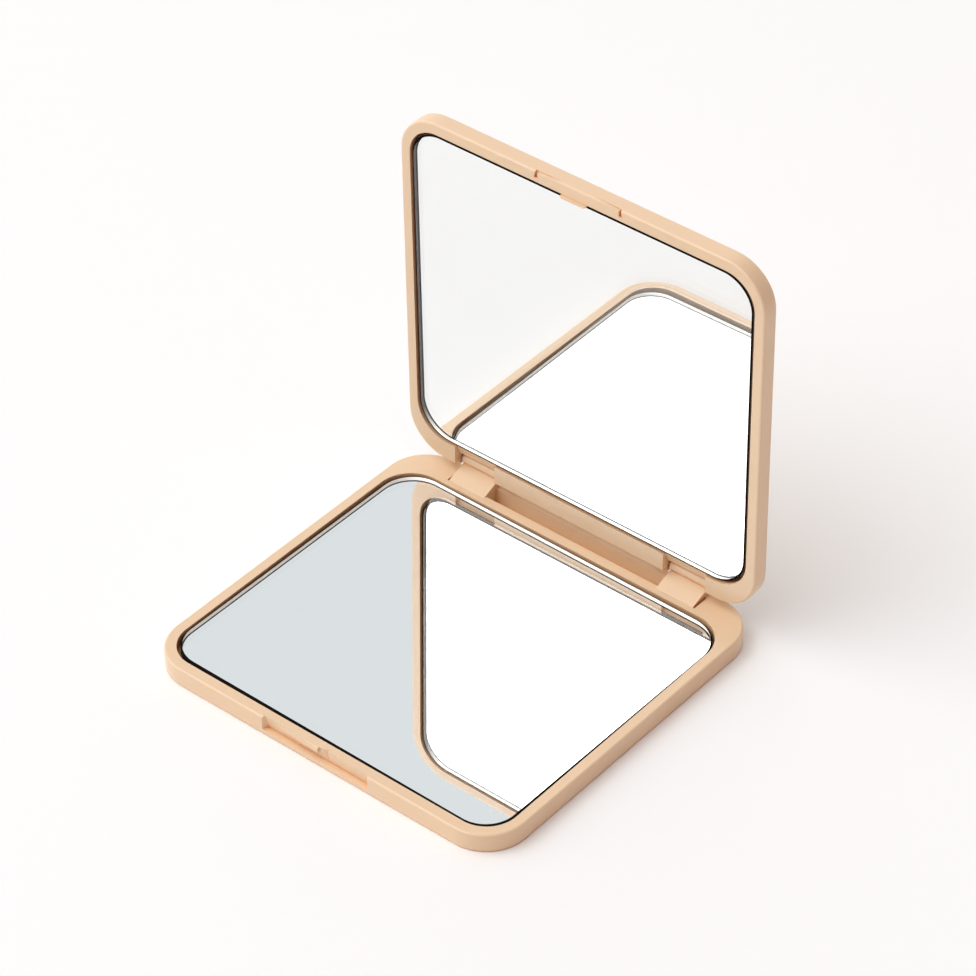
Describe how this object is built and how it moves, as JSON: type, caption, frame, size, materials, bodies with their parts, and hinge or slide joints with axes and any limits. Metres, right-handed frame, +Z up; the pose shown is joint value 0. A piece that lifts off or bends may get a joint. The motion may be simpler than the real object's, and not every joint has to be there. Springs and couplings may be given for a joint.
{
  "type": "compact mirror",
  "caption": "Slim square folding compact mirror with a mirror in each rounded half, a two-lug pin hinge and a thumb recess, standing open at a right angle.",
  "frame": {"origin": "middle of the base's underside, on the table", "axes": "+X along the hinge line, +Y from the thumb recess to the hinge, +Z up"},
  "size_m": [0.075, 0.0716, 0.0766],
  "materials": {
    "shell_plastic": "satin moulded, pale peach",
    "mirror_glass": "polished, silvered on the back",
    "pad_foam": "soft double-sided pad",
    "pin_steel": "drawn wire"
  },
  "bodies": {
    "base": {"base_shell": "shell_plastic", "base_mirror": "mirror_glass", "base_pad": "pad_foam", "hinge_pin_left": "pin_steel", "hinge_pin_right": "pin_steel"},
    "lid": {"lid_shell": "shell_plastic", "lid_mirror": "mirror_glass", "lid_pad": "pad_foam"}
  },
  "joints": [
    {"name": "lid_hinge", "type": "hinge", "parent": "base", "child": "lid", "pos_m": [0, 0.0351, 0.006], "axis": [1, 0, 0], "range_deg": [-91, 89]}
  ]
}
